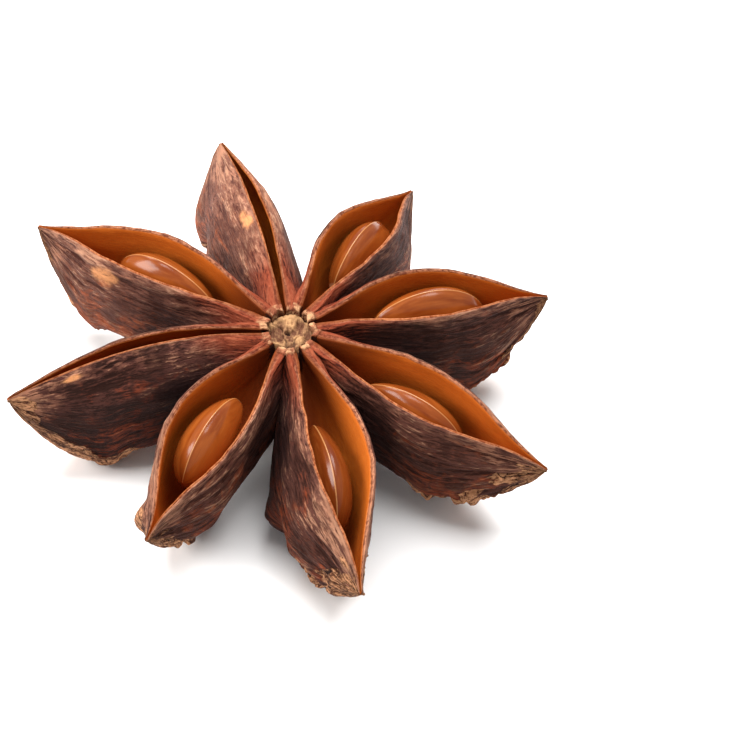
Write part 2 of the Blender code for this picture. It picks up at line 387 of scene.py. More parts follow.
def keel_depth(pod, s):
    """Depth below the seam: it grows to a level keel, steps down to the heel, then closes bluntly."""

    def share(s):
        level = DEPTH_BEFORE_HEEL - DEPTH_AT_COLUMN
        keel = DEPTH_AT_COLUMN + level * np.sin(pi / 2 * np.clip(s / LEVEL_FROM, 0, 1))
        heel = (1 - DEPTH_BEFORE_HEEL) * smooth_step(s, pod.heel_at - HEEL_STEP, pod.heel_at)
        past = np.clip((s - pod.heel_at) / (1 - pod.heel_at), 0, 1)
        return (keel + heel) * (1 - past**pod.bluntness) ** BLUNT_ROUNDING

    along = np.linspace(0, 0.9, 91)
    room = seam_height(pod, along) - pod.keel_height * MM - BEAK_DEPTH
    return BEAK_DEPTH + np.min(room / share(along)) * share(s)


def swollen(pod, v, lip, belly):
    """Half-width at share v of the depth: (lip + belly v^p / peak) sqrt(1 - v^2), round at the keel.

    The peak is the most that v^p sqrt(1 - v^2) reaches, so that belly is the swelling's full height.
    """
    power = BELLY_HIGH + BELLY_PER_OPENING * pod.half_opening * MM
    peak = (power / (1 + power)) ** (power / 2) / np.sqrt(1 + power)
    return np.sqrt(np.clip(1 - v * v, 0, 1)) * (lip + belly * v**power / peak)


def outside_half_width(pod, s, v):
    """The outside, with what the lips fuse and the flanks press on each other near the column."""
    lip = lip_half_width(pod, s) + FUSED * (1 - smooth_step(s, FUSED_EASES_AT, FUSED_GONE_AT))
    grows = SQUEEZE_AT_COLUMN + (1 - SQUEEZE_AT_COLUMN) * smooth_step(s, 0, SQUEEZE_FULL_AT)
    pressed = SQUEEZE * grows * (1 - smooth_step(s, SQUEEZE_EASES_AT, SQUEEZE_GONE_AT))
    return swollen(pod, v, lip, pod.belly * MM * np.sin(pi * s) ** BELLY_POWER + pressed)


def hollow_half_width(pod, s, v, below):
    """The hollow: the pod's own outside less its wall, which thins out where the pod is narrow."""
    own = swollen(pod, v, lip_half_width(pod, s), pod.belly * MM * np.sin(pi * s) ** BELLY_POWER)
    full = LIP_WALL + (WALL - LIP_WALL) * smooth_step(below, 0, WALL_FULL_BELOW)
    return own - full * (1 - np.exp(-WALL_MOST_SHARE * own / full))


def place(pod, s, y, z, shift=0.0):
    """Section points (y sideways, z above the seam) at share s, moved out by shift, as world points."""
    lean = np.tan(radians(pod.lean)) * smooth_step(s, 0, LEAN_FULL_AT)
    side = y - z * lean + pod.bend * MM * np.sin(pi * s)
    height = z + seam_height(pod, s)
    out = POD_START + (pod.reach * MM - POD_START) * s + shift
    turn = radians(pod.azimuth)
    x = COLUMN_X + out * np.cos(turn) - side * np.sin(turn)
    y = COLUMN_Y + out * np.sin(turn) + side * np.cos(turn)
    return np.stack(np.broadcast_arrays(x, y, height), axis=-1)


print("keel depths at the heel, mm:", [round(float(keel_depth(p, p.heel_at)) / MM, 1) for p in PODS])

# %% [markdown]
# ## The fine pod
# Real rind is wrinkled lengthwise, because it shrinks across its fibres. The heel, where the keel is
# thickest, dries to lumpy cork. The lips tear rather than cut: outside is the rough edge of the rind,
# inside the clean edge of the woody lining, with a furrow between the two. A ring of points follows the
# section: down the left flank, round the keel, up the right one, over the lip, and round the hollow.
# Moving each point along its normal by the noise gives the relief.

# %% Points of one section
STATIONS = 152
STATION_POWER = 1.25
FLANK_STEPS = 112
LIP_STEPS = 11
LINING_STEPS = 24
END_RINGS = 5
END_ROUNDING = 0.12 * MM
END_SHRINK = 0.35
CROWN_AT_ENDS = 0.35

spread = np.linspace(0, 1, FLANK_STEPS)
FLANK_V = 0.5 * spread + 0.25 * (1 - np.cos(pi * spread))
LINING_W = np.sin(np.linspace(0, pi / 2, LINING_STEPS))
LIP_Q = np.linspace(0, 1, LIP_STEPS + 2)[1:-1]


def section_parts():
    """For each point of the ring: side, share of depth, place across the lip, and whether it is outside."""
    flank = np.stack([np.ones(FLANK_STEPS), FLANK_V, np.zeros(FLANK_STEPS), np.ones(FLANK_STEPS)])
    lining = np.stack([np.ones(LINING_STEPS), LINING_W, np.ones(LINING_STEPS), np.zeros(LINING_STEPS)])
    lip = np.stack([np.ones(LIP_STEPS), np.zeros(LIP_STEPS), LIP_Q, np.full(LIP_STEPS, 0.5)])
    mirror = np.array([[-1], [1], [1], [1]])
    ring = [
        flank,
        mirror * flank[:, -2::-1],
        mirror * lip,
        mirror * lining[:, :-1],
        lining[:, ::-1],
        lip[:, ::-1],
    ]
    return np.hstack(ring)


SIDE, SHARE, ACROSS, OUTSIDE = section_parts()
IS_LIP = OUTSIDE == 0.5
IS_INSIDE = OUTSIDE == 0.0
print("points in a ring:", SIDE.size)


# %% The lip's profile
# The rind's edge, the lining's and the furrow between them: place and width as shares of the way across
# the lip, and height as a share of its crown.
LIP_RIDGES = ((0.30, 0.26, 1.0), (0.84, 0.12, 0.75), (0.66, 0.07, -0.9))


def lip_profile(q):
    """Height at share q of the way across: the sum of height exp(-((q - place) / width)^2)."""
    return sum(height * np.exp(-(((q - at) / width) ** 2)) for at, width, height in LIP_RIDGES)


print("lip profile from", lip_profile(LIP_Q).min().round(2), "to", lip_profile(LIP_Q).max().round(2))


# %% A pod before its relief
def smooth_pod(pod, pod_start):
    """Grid of stations by ring points from share pod_start on. Each end is rounded by a cosine."""
    s = 1 - (1 - pod_start) * (1 - np.linspace(0, 1, STATIONS)) ** STATION_POWER
    bend = np.linspace(0, pi / 2, END_RINGS + 1)[1:]
    s = np.concatenate([np.full(END_RINGS, pod_start), s, np.ones(END_RINGS)])[:, None]
    shift = np.concatenate([-np.sin(bend[::-1]), np.zeros(STATIONS), np.sin(bend)])[:, None] * END_ROUNDING
    shrink = np.concatenate([1 - np.cos(bend[::-1]), np.zeros(STATIONS), 1 - np.cos(bend)])[:, None]

    depth = keel_depth(pod, s)
    hollow = GROOVE_DEPTH + HOLLOW_DEPTH * np.sin(pi * s) ** HOLLOW_POWER
    below = np.where(IS_INSIDE, hollow * SHARE, depth * SHARE)
    v = np.clip(below / depth, 0, 1)
    outer = outside_half_width(pod, s, v)
    inner = hollow_half_width(pod, s, v, below) * np.sqrt(np.clip(1 - SHARE**HOLLOW_SQUARENESS, 0, 1))
    lip = outer + (inner - outer) * ACROSS
    y = np.where(IS_INSIDE, inner, np.where(IS_LIP, lip, outer))
    crown = LIP_CROWN * (CROWN_AT_ENDS + (1 - CROWN_AT_ENDS) * np.sin(pi * s))
    z = -below + np.where(IS_LIP, crown * lip_profile(ACROSS), 0.0)
    z = z - shrink * END_ROUNDING * (1 - v)
    y = y * (1 - END_SHRINK * shrink)
    return s, v, below, place(pod, s, SIDE * y, z, shift)


s, v, below, points = smooth_pod(PODS[0], 0.01)
print("grid", points.shape, "height", (points[..., 2].max() / MM).round(2), "mm")


# %% Normals of a grid of rings
def ring_normals(points):
    """Unit cross product of the steps along the pod and round the ring, pointing away from the wall."""
    along = np.gradient(points, axis=0)
    around = np.roll(points, -1, axis=1) - np.roll(points, 1, axis=1)
    normal = np.cross(along, around)
    return normal / np.maximum(np.linalg.norm(normal, axis=-1, keepdims=True), 1e-12)


flank = ring_normals(points)[STATIONS // 2, FLANK_STEPS // 2]
turn = radians(PODS[0].azimuth)
print("outward on the left flank:", np.dot(flank, (-sin(turn), cos(turn), 0)).round(2))

# %% [markdown]
# ## Relief and paint
# The wrinkles run along the pod and meet at the beak, so their noise is read in two coordinates of the
# surface itself: millimetres along, and millimetres up from the keel. Stretching one axis makes wrinkles
# of lumps. No two pods dry alike: flanks swell or sink here and there, and one keel has swerved aside.
# The values that shape the surface are kept on its points, and the finish reads them back: crests are
# pale, partly their own tan and partly painted highlight, furrows are darkened with painted shade, and
# the heel is tan.

# %% Sizes of the relief
KEEL_TO_LIP = 8.0
LIP_ACROSS = 0.42
POD_LAYER = 31.0
SEEDS_PER_POD = 100
LIP_APART = 5.0
ROOM_FULL_AT = 1.2 * MM
ROOM_LEAST = 0.15
UNDULATION = 0.075 * MM
WRINKLE = 0.044 * MM
LUMP = 0.16 * MM
LINING_WAVE = 0.016 * MM
EDGE_RISE = 0.060 * MM
EDGE_SWAY = 0.055 * MM
STUB_LUMP = 0.10 * MM
STUB_LENGTH = 0.022
CORK_BEFORE_HEEL = 0.14
CORK_FULL_AFTER = 0.10
PIT_DEEPER = 1.1
PIT_WIDTH = 0.10

# The noises' grains: mm along the pod, mm up from the keel, seed, octaves and layer.
DRIFT = Grain(3.4, 2.6, 5, 2)
FINE_DRIFT = Grain(0.6, 0.5, 7, 2)
WAVES = Grain(3.3, 2.3, 9, 2, 3.0)
LONG_FOLDS = Grain(5.2, 0.50, 15, 2)
SHORT_FOLDS = Grain(2.1, 0.27, 19, 1)
RAGGED = Grain(1.5, 1.2, 31, 3)
CORK_LUMPS = Grain(0.75, 0.65, 37, 3, 7.0)
PITS = Grain(0.8, 0.55, 43, 1)
LINING_WAVES = Grain(2.4, 1.6, 47, 2)
STUB_LUMPS = Grain(0.45, 0.5, 53, 2)
STUB_END = Grain(1.0, 0.9, 61, 3)
LIP_RISE = Grain(1.9, 1.0, 71, 4)
LIP_SWAY = Grain(1.3, 1.0, 73, 2, 5.0)
SCUFF_EDGE = Grain(0.7, 0.5, 83, 3)
print("long folds are", LONG_FOLDS.along, "mm long and", LONG_FOLDS.up, "mm apart")

# %% What sets each pod apart
# Share of the length at which each pod's broken end begins, how high its cork climbs the heel in mm, and
# how much later than on the others that begins.
STARTS = {1: 0.012, 2: 0.014, 3: 0.013, 4: 0.004, 5: 0.018, 6: 0.026, 7: 0.028, 8: 0.010}
CORK_UP = {1: 1.3, 2: 1.0, 3: 1.2, 4: 1.6, 5: 2.0, 6: 2.5, 7: 1.6, 8: 3.0}
CORK_LATER = {6: 0.10, 7: 0.06}

# Local swellings of a flank: side, share along, share of depth, spread along, spread down, height in mm,
# and what they are made of.
Swelling = namedtuple("Swelling", "side s v along down height skin", defaults=("rind",))
SWELLINGS = {
    2: [Swelling(1, 0.66, 0.82, 0.08, 0.28, -0.60), Swelling(1, 0.85, 0.70, 0.06, 0.26, 0.20)],
    6: [Swelling(-1, 0.42, 0.88, 0.05, 0.16, 0.45), Swelling(-1, 0.65, 0.82, 0.030, 0.055, -0.45, "pit")],
    7: [Swelling(-1, 0.88, 0.45, 0.06, 0.24, 0.90, "cork")],
    8: [Swelling(1, 0.50, 0.26, 0.22, 0.13, 0.65), Swelling(1, 0.34, 0.58, 0.14, 0.14, -0.25)],
}
# Keels that dried crooked: shares along at which the swerve begins, is full, begins to ease and has eased
# to the share left, and its sideways shift in mm.
Swerve = namedtuple("Swerve", "begins full eases eased left shift")
SWERVES = {6: Swerve(0.42, 0.55, 0.62, 0.90, 0.25, 1.4)}
# Pale scuffs, where the rind was rubbed: side, share along, share of depth, spread along, spread down.
Scuff = namedtuple("Scuff", "side s v along down")
SCUFFS = {
    1: [Scuff(1, 0.64, 0.14, 0.060, 0.090)],
    2: [Scuff(1, 0.47, 0.04, 0.055, 0.040)],
    8: [Scuff(1, 0.76, 0.03, 0.040, 0.020)],
}
# How pale each pod's rind is, from 0 to 1.
TONES = {1: 0.64, 2: 0.76, 3: 0.42, 4: 0.34, 5: 0.38, 6: 0.31, 7: 0.42, 8: 0.20}
print("pods with a swelling:", sorted(SWELLINGS), "with a swerve:", sorted(SWERVES))


# %% A pod's relief
def spot(s, v, mark):
    """A soft round spot on one flank: exp(-distance^2), with the distance taken round the keel."""
    from_keel = SIDE * (1 - v) - mark.side * (1 - mark.v)
    distance = ((s - mark.s) / mark.along) ** 2 + (from_keel / mark.down) ** 2
    return np.exp(-distance) * (OUTSIDE == 1)


def sideways_shift(s, v, swerve):
    """The swerve's shift times a soft step along, eased to the share left, times one down to the keel."""
    grows = smooth_step(s, swerve.begins, swerve.full)
    eases = 1 - (1 - swerve.left) * smooth_step(s, swerve.eases, swerve.eased)
    return swerve.shift * MM * grows * eases * smooth_step(v, 0.4, 1.0)


def relieved_pod(number, pod):
    """The pod's grid moved along its normals by its wrinkles, heel lumps and torn lips, and its paint."""
    s, v, below, points = smooth_pod(pod, STARTS[number])
    along = s * (pod.reach - POD_START / MM)
    rise = np.where(IS_INSIDE, (1 - SHARE) * (KEEL_TO_LIP + LIP_ACROSS), (1 - v) * KEEL_TO_LIP)
    up = SIDE * np.where(IS_LIP, KEEL_TO_LIP + LIP_ACROSS * ACROSS, rise)
    own = (POD_LAYER * number, SEEDS_PER_POD * number)

    # Masks: where the ring is rind, lining or lip, where the broken end is, and how much room there is.
    outside = (OUTSIDE == 1) * smooth_step(v, 0.0, 0.04)
    lining = IS_INSIDE * smooth_step(SHARE, 0.0, 0.12)
    edge = np.where(IS_LIP, 1.0, 1 - smooth_step(np.where(IS_INSIDE, SHARE, v), 0.0, 0.05))
    torn = edge * (1 - 0.75 * smooth_step(ACROSS, 0.5, 0.75))
    stub = (s - STARTS[number]) / STUB_LENGTH + 0.5 * read(STUB_END, along * 0, up, *own)
    stub = 1 - smooth_step(stub, 0.5, 1.0)
    room = np.clip(outside_half_width(pod, s, 0 * s) / ROOM_FULL_AT, ROOM_LEAST, 1)

    # Waves and folds of the rind; the folds wander with the drift.
    waves = steady(read(WAVES, along, up, *own))
    drift = 0.32 * read(DRIFT, along, up, *own) + 0.04 * read(FINE_DRIFT, along, up, *own)
    long_folds = read(LONG_FOLDS, along, up + drift, *own, crests)
    folds = (0.8 + 0.6 * smooth_step(s, 0.35, 0.8)) * long_folds
    folds = steady(folds - 0.6 * read(SHORT_FOLDS, along, up + drift, *own, crests))

    # Cork on the heel, with a ragged border, lumps and pits.
    ragged = 0.55 * read(RAGGED, along, up, *own)
    above_keel = keel_depth(pod, s) * (1 - v) / (CORK_UP[number] * MM)
    heel = outside * (1 - smooth_step(above_keel + ragged, 0.65, 1.0))
    cork_from = pod.heel_at + CORK_LATER.get(number, 0) - CORK_BEFORE_HEEL
    heel = heel * smooth_step(s + 0.1 * ragged, cork_from, cork_from + CORK_FULL_AFTER)
    lumps = np.clip(steady(read(CORK_LUMPS, along, up, *own)), -1.8, 1.8)
    hollows = read(PITS, along + PITS.along * ragged, up, *own)
    pits = heel * np.exp(-((hollows / PIT_WIDTH) ** 2))

    move = outside * room * (UNDULATION * waves + WRINKLE * (1 - 0.6 * heel) * folds)
    move = move + room * LUMP * (heel * lumps - PIT_DEEPER * pits)
    move = move + lining * room * LINING_WAVE * steady(read(LINING_WAVES, along, up, *own))
    move = move + stub * STUB_LUMP * (1 - IS_INSIDE) * read(STUB_LUMPS, along, up, *own)
    for swelling in SWELLINGS.get(number, []):
        here = spot(s, v, swelling)
        move = move + swelling.height * MM * here
        if swelling.skin == "pit":
            pits = np.maximum(pits, here)
        if swelling.skin == "cork":
            heel = np.maximum(heel, smooth_step(here + 0.2 * ragged, 0.3, 0.7))
    points = points + move[..., None] * ring_normals(points)

    # Each lip rises and sways as a whole, by noise that changes only along it.
    lip_side = SIDE * LIP_APART
    rise = torn * EDGE_RISE * read(LIP_RISE, along, lip_side, *own) * np.clip(room * 2, 0, 1)
    sway = edge * EDGE_SWAY * read(LIP_SWAY, along, lip_side, *own) * room
    if number in SWERVES:
        sway = sway + sideways_shift(s, v, SWERVES[number])
    turn = radians(pod.azimuth)
    points[..., 0] += -np.sin(turn) * sway
    points[..., 1] += np.cos(turn) * sway
    points[..., 2] += rise + stub * IS_LIP * STUB_LUMP
    points[..., 2] = np.maximum(points[..., 2], 0.0)

    whole = np.zeros(points.shape[:2])
    scuff = whole.copy()
    for mark in SCUFFS.get(number, []):
        blotch = spot(s, v, mark) * (1 + 0.5 * read(SCUFF_EDGE, along, up, *own))
        scuff = np.maximum(scuff, smooth_step(blotch, 0.20, 0.70))
    paint = {
        "across": whole + np.where(OUTSIDE == 1, 0.0, np.where(IS_LIP, ACROSS, 1.0)),
        "below": whole + below / MM,
        "along": whole + s,
        "crest": whole + 0.5 + 0.25 * folds,
        "wave": whole + 0.5 + 0.25 * waves,
        "heel": whole + heel,
        "pit": whole + pits,
        "stub": whole + stub,
        "scuff": scuff,
        "tone": whole + TONES[number],
    }
    grain = np.stack(np.broadcast_arrays(along + whole, up + whole, own[0] + whole), axis=-1)
    return points, paint, grain


points, paint, grain = relieved_pod(8, PODS[7])
print("paint:", {name: (values.min().round(2), values.max().round(2)) for name, values in paint.items()})


# %% From rings to a mesh
def closed_surface(name, rings, finish, paint=None, grain=None):
    """Quads between neighbouring rings, and a fan to a middle point at each end, facing outwards."""
    count, size = rings.shape[:2]
    first = np.arange((count - 1) * size).reshape(-1, size)
    after = np.roll(first, -1, axis=1)
    quads = np.stack([first, after, after + size, first + size], axis=-1).reshape(-1, 4)
    ring = np.arange(size)
    last = (count - 1) * size + ring
    start, end = count * size, count * size + 1
    fans = np.vstack([
        np.stack([np.roll(ring, -1), ring, np.full(size, start)], axis=-1),
        np.stack([last, np.roll(last, -1), np.full(size, end)], axis=-1),
    ])
    middles = [rings[0].mean(axis=0), rings[-1].mean(axis=0)]
    points = np.vstack([rings.reshape(-1, 3), middles])
    triangles = np.vstack([quads[:, :3], quads[:, [0, 2, 3]], fans])
    a, b, c = (points[triangles[:, i]] for i in range(3))
    if np.einsum("ij,ij->", a, np.cross(b, c)) < 0:
        quads, fans = quads[:, ::-1], fans[:, ::-1]

    mesh = bpy.data.meshes.new(name)
    mesh.from_pydata(points.tolist(), [], quads.tolist() + fans.tolist())
    mesh.shade_smooth()
    for key, values in (paint or {}).items():
        layer = mesh.attributes.new(key, "FLOAT", "POINT")
        both = [values[0].mean(), values[-1].mean()]
        layer.data.foreach_set("value", np.append(values.ravel(), both).astype(np.float32))
    if grain is not None:
        layer = mesh.attributes.new("grain", "FLOAT_VECTOR", "POINT")
        both = np.vstack([grain.reshape(-1, 3), grain[0].mean(axis=0), grain[-1].mean(axis=0)])
        layer.data.foreach_set("vector", both.astype(np.float32).ravel())
    mesh.materials.append(finish.material)
    made = bpy.data.objects.new(name, mesh)
    bpy.context.scene.collection.objects.link(made)
    return made


def triangle_count(made):
    """A face with n corners is n - 2 triangles."""
    return len(made.data.loops) - 2 * len(made.data.polygons)


print("surface maker ready")

# %% [markdown]
# ## The husk's finish
# One finish covers the whole husk, because it is one piece of wood whose skin changes from place to
# place. Outside it is dark purple-brown with rusty patches and tan crests, which are partly painted
# highlight; painted shade darkens its furrows, its flanks towards the keel and the crevices between the
# pods near the column. The heel is tan cork whose low parts and pits are darkened with painted shade;
# the skin turns red-brown towards the column; the torn lip is mottled tan; the lining is smooth
# orange-brown and darkens with depth as painted shade. The masks that tell these places apart were
# stored with the shape, so the colours sit exactly on it. Colours are linear, so they look paler than
# their numbers.

# %% Husk finish
husk = Finish("star anise husk", Specular_IOR_Level=0.08)
grain_at = husk.attribute("grain", "Vector")
across = husk.attribute("across")
below = husk.attribute("below")
share_along = husk.attribute("along")
crest = husk.attribute("crest")
wave = husk.attribute("wave")
heel = husk.attribute("heel")
pit = husk.attribute("pit")
stub = husk.attribute("stub")
scuff = husk.attribute("scuff")
tone = husk.attribute("tone")

streaks = husk.noise(grain_at, (1.4, 8.5, 1.0), 4, 0.70, 0.3)
stains = husk.noise(grain_at, (0.30, 0.50, 1.0), 4, 0.6, 0.8)
veins = husk.noise(grain_at, (0.22, 2.1, 1.0), 2, 0.5, 0.5) - 0.5
thread = 1 - (veins * veins).between(0.0, 0.005)
patches = husk.noise(grain_at, (0.50, 0.85, 1.3), 5, 0.66, 1.0)
speckle = husk.noise(grain_at, (4.0, 5.0, 1.0), 3, 0.65)
crumbs = husk.noise(grain_at, (1.7, 2.4, 1.7), 5, 0.72, 0.6)
print("grain read from the pods' own coordinates")

# %% Rind colours
# Each of these on a pod of tone 0, the darkest, and of tone 1.
FURROWS = (0.006, 0.002, 0.001), (0.085, 0.024, 0.015)
BODIES = (0.038, 0.010, 0.009), (0.215, 0.082, 0.052)
RED_BODIES = (0.170, 0.025, 0.008), (0.345, 0.088, 0.034)
CRESTS = (0.310, 0.138, 0.080), (0.440, 0.238, 0.148)
RED_CRESTS = (0.320, 0.085, 0.034), (0.540, 0.195, 0.095)
BLEACHED = (0.270, 0.110, 0.064), (0.460, 0.215, 0.130)
SHADE = (0.010, 0.003, 0.003)
CREVICE_SHADE = (0.014, 0.004, 0.004)
# The skin near the column: its furrows, its body, its crests, and its rise to the lip.
RED_FURROW = (0.026, 0.004, 0.002)
RED_SKIN = (0.150, 0.021, 0.008)
RED_CREST = (0.280, 0.068, 0.029)
RED_LIP_SKIN = (0.290, 0.062, 0.025)

rust = (patches + 0.04 * (below - 3.5)).between(0.46, 0.66)
furrow = husk.mix(tone, *FURROWS)
body = husk.mix(rust, husk.mix(tone, *BODIES), husk.mix(tone, *RED_BODIES))
top = husk.mix(rust, husk.mix(tone, *CRESTS), husk.mix(tone, *RED_CRESTS))
raised = 0.12 + 0.45 * crest + 2.2 * (streaks - 0.5) + 0.25 * thread + 0.45 * (wave - 0.5)
raised = raised + 0.16 * (1.4 - below).between(0.0, 1.4)
# Painted shade darkens the furrows; the crests are pale partly by their own tan and partly as painted
# highlight.
rind = husk.mix(raised.between(0.12, 0.50), furrow, body)
rind = husk.mix(raised.between(0.67, 1.03), rind, top)
# Painted shade: the rind darkens towards the keel, where the flanks turn down from the light, less on pale
# pods and rusty patches.
shaded = (below - 1.2).between(0.0, 5.5) * (1.08 - tone) * (1 - 0.75 * rust)
rind = husk.mix(shaded * 0.72, rind, SHADE)
rind = husk.mix(stains.between(0.48, 0.62) * 0.60, rind, furrow)
pale_end = 3.0 * (share_along - 0.72).between(0.0, 0.28)
bleached = (1.2 - below + pale_end).between(0.0, 1.2) * patches.between(0.40, 0.62)
bleached = bleached * raised.between(0.3, 0.7) * (0.5 + 0.3 * pale_end)
rind = husk.mix(bleached, rind, husk.mix(tone, *BLEACHED))

# Near the column too, the furrows get painted shade and the crests are pale partly as painted highlight.
red = husk.mix(raised.between(0.12, 0.52), RED_FURROW, RED_SKIN)
red = husk.mix(raised.between(0.66, 1.10), red, RED_CREST)
red = husk.mix((1.2 - below).between(0.0, 1.0) * raised.between(0.2, 0.6) * 0.5, red, RED_LIP_SKIN)
red_end = (0.38 - share_along - 0.07 * below + 0.24 * (stains - 0.5)).between(0.0, 0.22)
rind = husk.mix(red_end * 0.9, rind, red)
# Painted shade in the crevices low on the flanks between neighbouring pods, towards the column.
crevice_shade = (below - 0.6).between(0.0, 1.8) * (0.60 - share_along).between(0.0, 0.25)
rind = husk.mix(crevice_shade * (1.08 - tone), rind, CREVICE_SHADE)
print("rind colours mixed")

# %% Cork and scuffs
CORK_DARK = (0.085, 0.028, 0.014)
CORK_PALE = (0.560, 0.265, 0.130)
CORK_FURROW_SHADE = (0.060, 0.020, 0.010)
CORK_PIT_SHADE = (0.025, 0.009, 0.006)
SCUFF_TAN = (0.620, 0.260, 0.105)

cork = husk.mix((0.6 * crumbs + 0.4 * speckle).between(0.43, 0.56), CORK_DARK, CORK_PALE)
# Painted shade darkens the cork's low parts and its pits.
cork = husk.mix(1 - raised.between(-0.05, 0.45), cork, CORK_FURROW_SHADE)
cork = husk.mix(pit.between(0.25, 0.9), cork, CORK_PIT_SHADE)
corky = (heel + 0.6 * (crumbs - 0.5) + 0.25 * (raised - 0.5)).between(0.30, 0.70)
rind = husk.mix(corky, rind, cork)
rind = husk.mix(scuff * crumbs.between(0.25, 0.55), rind, SCUFF_TAN)
print("cork and scuffs laid over the rind")

# %% Lips and lining
# Each from its dark crumbs to its pale ones.
TORN_LIP = (0.150, 0.043, 0.024), (0.450, 0.195, 0.107)
RED_LIP = (0.130, 0.021, 0.008), (0.300, 0.074, 0.031)
LINING_EDGE = (0.250, 0.058, 0.015), (0.450, 0.160, 0.062)
LINING_EDGE_AT_COLUMN = (0.120, 0.024, 0.008)
LINING = (0.440, 0.095, 0.010), (0.560, 0.145, 0.018)
LINING_DEPTH_SHADE = (0.150, 0.021, 0.003)
LINING_AT_COLUMN = (0.145, 0.022, 0.005)

near_column = (0.30 - share_along).between(0.0, 0.28)
crumbled = 0.55 * crumbs + 0.45 * speckle
torn_lip = husk.mix(crumbled.between(0.40, 0.56), *TORN_LIP)
torn_lip = husk.mix(near_column * 0.9, torn_lip, husk.mix(crumbled.between(0.44, 0.66), *RED_LIP))
lining_edge = husk.mix(crumbled.between(0.42, 0.56), *LINING_EDGE)
lining_edge = husk.mix(near_column * 0.8, lining_edge, LINING_EDGE_AT_COLUMN)
lining = husk.mix(streaks.between(0.25, 0.75), *LINING)
# Painted shade: the lining darkens deeper in the hollow.
deep = (below + 3.0 * (stains - 0.5)).between(1.8, 5.6)
lining = husk.mix(deep * 0.85, lining, LINING_DEPTH_SHADE)
lining = husk.mix((0.38 - share_along).between(0.0, 0.30) * 0.85, lining, LINING_AT_COLUMN)
colour = husk.mix((across + 0.35 * (crumbs - 0.5)).between(0.34, 0.44), rind, torn_lip)
colour = husk.mix((across + 0.2 * (crumbs - 0.5)).between(0.64, 0.76), colour, lining_edge)
colour = husk.mix(across.between(0.90, 1.0), colour, lining)
print("from rind to lip to lining")

# %% Stub ends by the column
STUB_RED = (0.280, 0.085, 0.042)
STUB_TAN = (0.560, 0.300, 0.155)
STUB_DARK = (0.160, 0.050, 0.025)
CUT_END = (0.040, 0.011, 0.006)
GROOVE = (0.030, 0.007, 0.004)

stub_end = husk.mix(patches.between(0.42, 0.54), STUB_RED, STUB_TAN)
stub_end = husk.mix(crumbled.between(0.36, 0.56), STUB_DARK, stub_end)
stubs_shown = stub * (1 - (below - 0.5).between(0.0, 0.6)) * (1 - across.between(0.85, 0.98))
colour = husk.mix(stubs_shown, colour, stub_end)
cut = stub * (below - 0.30).between(0.0, 0.45) * (1 - across.between(0.0, 0.2))
colour = husk.mix(cut * 0.9, colour, CUT_END)
groove = (stub + near_column * 0.4).between(0.0, 1.0) * across.between(0.92, 1.0)
colour = husk.mix(groove * 0.9, colour, GROOVE)
husk.feed(husk.shader.inputs["Base Color"], colour)
print("husk colour fed")

# %% Husk gloss and fine bump
inside = across.between(0.70, 0.95)
gloss = 0.66 - 0.20 * inside + 0.25 * (speckle - 0.5)
husk.feed(husk.shader.inputs["Roughness"], gloss)
grit = husk.noise(grain_at, (7.0, 8.0, 1.0), 3, 0.6)
smooth = 1 - 0.9 * inside
crumbly = (corky + stub + 0.25).between(0.0, 1.0)
relief = (1.9 * streaks + 0.25 * thread) * smooth + (grit + crumbs) * crumbly
husk.feed(husk.shader.inputs["Normal"], husk.bump(relief, 0.16 * MM, 0.9))
print("husk finish:", len(husk.tree.nodes), "nodes")

# %% [markdown]
# ## Eight pods
# Each pod is a closed surface of its own. Near the column their ends sink into each other, as the solids
# do. They stand for the husk's solid, which stays in the frame for its weight and collisions.

# %% Make the pods
husk_pieces = []
for number, pod in enumerate(PODS, start=1):
    points, paint, grain = relieved_pod(number, pod)
    husk_pieces.append(closed_surface(f"pod_{number}", points, husk, paint, grain))
print("triangles in a pod:", triangle_count(husk_pieces[0]))

# %% [markdown]
# ## The column
# In the middle the pods' ends stand round a small disc of torn fibres, the top of the column, with a pit
# at its centre. Underneath is the scar where the stalk broke off. Turning a profile gives the form;
# noise read in x and y makes it lumpy and cracks it. Painted shade darkens the pit, the cracks and the
# sunken rim of the disc.

# %% Column surface
COLUMN_RINGS = 64
COLUMN_AROUND = 168
DISC_RADIUS = 1.95 * MM
DISC_HEIGHT = SEAM_TOP - 0.42 * MM
DISC_LUMP = 0.18 * MM
DISC_FIBRE = 0.030 * MM
PIT_RADIUS = 0.18 * MM
PIT_X = -0.15 * MM
PIT_DEPTH = 0.40 * MM
CRACK_DEPTH = 0.16 * MM
CRACK_WIDTH = 0.07
RIM_DROP = 0.55 * MM
FOOT_LUMP = 0.10 * MM
FOOT_LUMP_UP = 0.8
DISC_LUMPS = Grain(0.62, 0.62, 901, 3, 3.0)
DISC_FIBRES = Grain(0.16, 0.34, 911, 2, 5.0)
DISC_CRACKS = Grain(0.9, 0.9, 921, 1, 8.0)
RAGGED_RIM = Grain(0.5, 0.5, 931, 2, 1.0)
FOOT_LUMPS = Grain(0.5, 0.5, 941, 2)
# The turned part under the disc: radius and height in mm, down inside the pods and in over the scar.
FOOT_PROFILE = (
    (1.30, 8.4), (1.30, 6.0), (1.75, 5.0), (1.75, 3.35), (1.62, 3.2), (1.15, 2.75),
    (1.0, 2.4), (0.98, 2.15), (0.88, 2.1), (0.5, 2.1), (0.12, 2.12),
)


